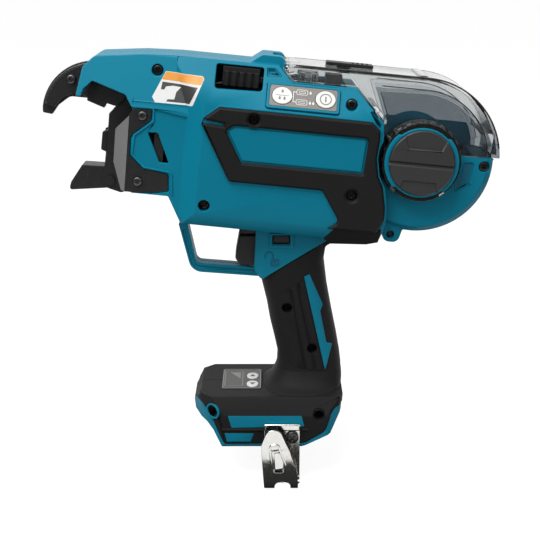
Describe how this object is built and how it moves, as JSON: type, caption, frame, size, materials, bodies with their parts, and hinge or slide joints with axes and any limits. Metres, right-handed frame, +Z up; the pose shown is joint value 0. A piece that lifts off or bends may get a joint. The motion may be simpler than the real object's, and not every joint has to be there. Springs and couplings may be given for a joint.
{
  "type": "rebar tying tool",
  "caption": "Cordless pistol-grip tool that feeds, curls and twists tie wire round crossing bars, with a reel bay behind and a battery foot below.",
  "frame": {"origin": "centre of the battery seat under the foot", "axes": "+X to the rear, toward the reel; +Y to the right of a user; +Z up along the handle"},
  "size_m": [0.2905, 0.091, 0.281],
  "materials": {
    "teal_shell": "fine moulded grain",
    "elastomer": "matt soft touch",
    "black_plastic": "moulded",
    "smoked_cover": "clear smoked",
    "membrane": "printed film",
    "white_keys": "moulded",
    "black_steel": "black oxide",
    "bright_steel": "machined",
    "nickel_plate": "satin nickel",
    "copper_winding": "laminations and enamelled wire",
    "motor_can": "drawn",
    "brass_insert": "turned"
  },
  "bodies": {
    "tool_body": {"left_housing": "teal_shell", "right_housing": "teal_shell", "left_bumper": "elastomer", "right_bumper": "elastomer", "left_grip": "elastomer", "right_grip": "elastomer", "left_foot_cover": "elastomer", "right_foot_cover": "elastomer", "housing_screws": "black_steel", "reel_case_left": "teal_shell", "reel_case_right": "teal_shell", "cover_pin": "bright_steel", "control_panel": "teal_shell", "panel_label": "membrane", "nose_frame": "black_steel", "curl_guide": "black_steel", "curl_cheeks": "black_steel", "nose_pins": "bright_steel", "jaw_cover": "black_steel", "left_nose_plate": "black_steel", "right_nose_plate": "black_steel", "contact_pads": "black_steel", "ring_gear": "bright_steel", "motor_stator": "copper_winding", "motor_bearings": "bright_steel", "feed_base": "bright_steel", "feed_motor": "motor_can", "wire_inlet": "black_plastic", "wire_tube": "bright_steel", "switch_unit": "black_plastic", "battery_shoe": "black_plastic", "controller": "motor_can", "foot_panel": "black_plastic", "belt_hook": "nickel_plate", "hook_screw": "bright_steel", "hook_inserts": "brass_insert"},
    "trigger": {"trigger": "black_plastic"},
    "trigger_lock": {"trigger_lock": "black_plastic"},
    "reel_cover": {"reel_cover": "smoked_cover"},
    "cover_latch": {"cover_latch": "black_plastic"},
    "reel_knob": {"reel_knob": "black_plastic", "knob_ring": "teal_shell", "knob_cap": "black_plastic"},
    "reel_hub": {"reel_hub": "black_plastic"},
    "power_button": {"power_button": "white_keys"},
    "mode_button": {"mode_button": "white_keys"},
    "plus_button": {"plus_button": "white_keys"},
    "minus_button": {"minus_button": "white_keys"},
    "lower_guide": {"lower_guide": "black_steel"},
    "cutter_blade": {"cutter_blade": "bright_steel"},
    "motor_rotor": {"motor_rotor": "bright_steel", "motor_fan": "black_plastic"},
    "planet_gear_1": {"planet_gear_1": "bright_steel"},
    "planet_gear_2": {"planet_gear_2": "bright_steel"},
    "planet_gear_3": {"planet_gear_3": "bright_steel"},
    "twist_spindle": {"twist_spindle": "bright_steel", "twist_hooks": "bright_steel"},
    "feed_drive_gear": {"feed_drive_gear": "bright_steel"},
    "feed_lever": {"feed_lever": "black_plastic"},
    "feed_idler_gear": {"feed_idler_gear": "bright_steel"}
  },
  "joints": [
    {"name": "trigger_slide", "type": "slide", "parent": "tool_body", "child": "trigger", "axis": [1, 0, 0], "range_m": [0, 0.006], "stiffness_N_per_m": 900},
    {"name": "trigger_lock_slide", "type": "slide", "parent": "tool_body", "child": "trigger_lock", "axis": [0, -1, 0], "range_m": [0, 0.004]},
    {"name": "cover_hinge", "type": "hinge", "parent": "tool_body", "child": "reel_cover", "pos_m": [0.00632, 0, 0.24012], "axis": [0, -1, 0], "range_deg": [0, 70]},
    {"name": "cover_latch_slide", "type": "slide", "parent": "reel_cover", "child": "cover_latch", "axis": [0.9952, 0, -0.0976], "range_m": [0, 0.005], "stiffness_N_per_m": 300},
    {"name": "reel_knob_turn", "type": "hinge", "parent": "tool_body", "child": "reel_knob", "pos_m": [0.09395, 0, 0.18179], "axis": [0, -1, 0], "range_deg": [0, 90]},
    {"name": "reel_hub_spin", "type": "hinge", "parent": "reel_knob", "child": "reel_hub", "pos_m": [0.09395, 0, 0.18179], "axis": [0, 1, 0], "continuous": true},
    {"name": "power_button_press", "type": "slide", "parent": "tool_body", "child": "power_button", "axis": [-0.0509, 0.8533, -0.519], "range_m": [0, 0.0005], "stiffness_N_per_m": 900},
    {"name": "mode_button_press", "type": "slide", "parent": "tool_body", "child": "mode_button", "axis": [-0.0509, 0.8533, -0.519], "range_m": [0, 0.0005], "stiffness_N_per_m": 900},
    {"name": "plus_button_press", "type": "slide", "parent": "tool_body", "child": "plus_button", "axis": [0, 0, -1], "range_m": [0, 0.0005], "stiffness_N_per_m": 900},
    {"name": "minus_button_press", "type": "slide", "parent": "tool_body", "child": "minus_button", "axis": [0, 0, -1], "range_m": [0, 0.0005], "stiffness_N_per_m": 900},
    {"name": "lower_guide_hinge", "type": "hinge", "parent": "tool_body", "child": "lower_guide", "pos_m": [-0.10244, 0, 0.16588], "axis": [0, -1, 0], "range_deg": [0, 30], "stiffness_Nm_per_rad": 0.4},
    {"name": "cutter_pivot", "type": "hinge", "parent": "tool_body", "child": "cutter_blade", "pos_m": [-0.0868, 0, 0.20755], "axis": [0, 1, 0], "range_deg": [0, 12], "stiffness_Nm_per_rad": 0.2},
    {"name": "twist_spin", "type": "hinge", "parent": "tool_body", "child": "twist_spindle", "pos_m": [-0.02137, 0, 0.17802], "axis": [-0.9952, 0, 0.0976], "continuous": true},
    {"name": "rotor_spin", "type": "hinge", "parent": "tool_body", "child": "motor_rotor", "pos_m": [0.00849, 0, 0.1751], "axis": [-0.9952, 0, 0.0976], "continuous": true},
    {"name": "planet_1_spin", "type": "hinge", "parent": "twist_spindle", "child": "planet_gear_1", "pos_m": [-0.01142, 0.0108, 0.17705], "axis": [-0.9952, 0, 0.0976], "continuous": true},
    {"name": "planet_2_spin", "type": "hinge", "parent": "twist_spindle", "child": "planet_gear_2", "pos_m": [-0.0105, -0.0054, 0.18636], "axis": [-0.9952, 0, 0.0976], "continuous": true},
    {"name": "planet_3_spin", "type": "hinge", "parent": "twist_spindle", "child": "planet_gear_3", "pos_m": [-0.01233, -0.0054, 0.16774], "axis": [-0.9952, 0, 0.0976], "continuous": true},
    {"name": "feed_drive_spin", "type": "hinge", "parent": "tool_body", "child": "feed_drive_gear", "pos_m": [0.02405, 0.006, 0.23135], "axis": [0.0976, 0, 0.9952], "continuous": true},
    {"name": "feed_release", "type": "hinge", "parent": "tool_body", "child": "feed_lever", "pos_m": [0.00262, -0.013, 0.22792], "axis": [-0.0976, 0, -0.9952], "range_deg": [0, 6], "stiffness_Nm_per_rad": 0.3},
    {"name": "feed_idler_spin", "type": "hinge", "parent": "feed_lever", "child": "feed_idler_gear", "pos_m": [0.02405, -0.006, 0.23135], "axis": [0.0976, 0, 0.9952], "continuous": true}
  ],
  "couplings": [
    {"joint": "twist_spin", "follows": "rotor_spin", "ratio": 0.22222},
    {"joint": "planet_1_spin", "follows": "rotor_spin", "ratio": -0.62222},
    {"joint": "planet_2_spin", "follows": "rotor_spin", "ratio": -0.62222},
    {"joint": "planet_3_spin", "follows": "rotor_spin", "ratio": -0.62222},
    {"joint": "feed_idler_spin", "follows": "feed_drive_spin", "ratio": -1}
  ]
}
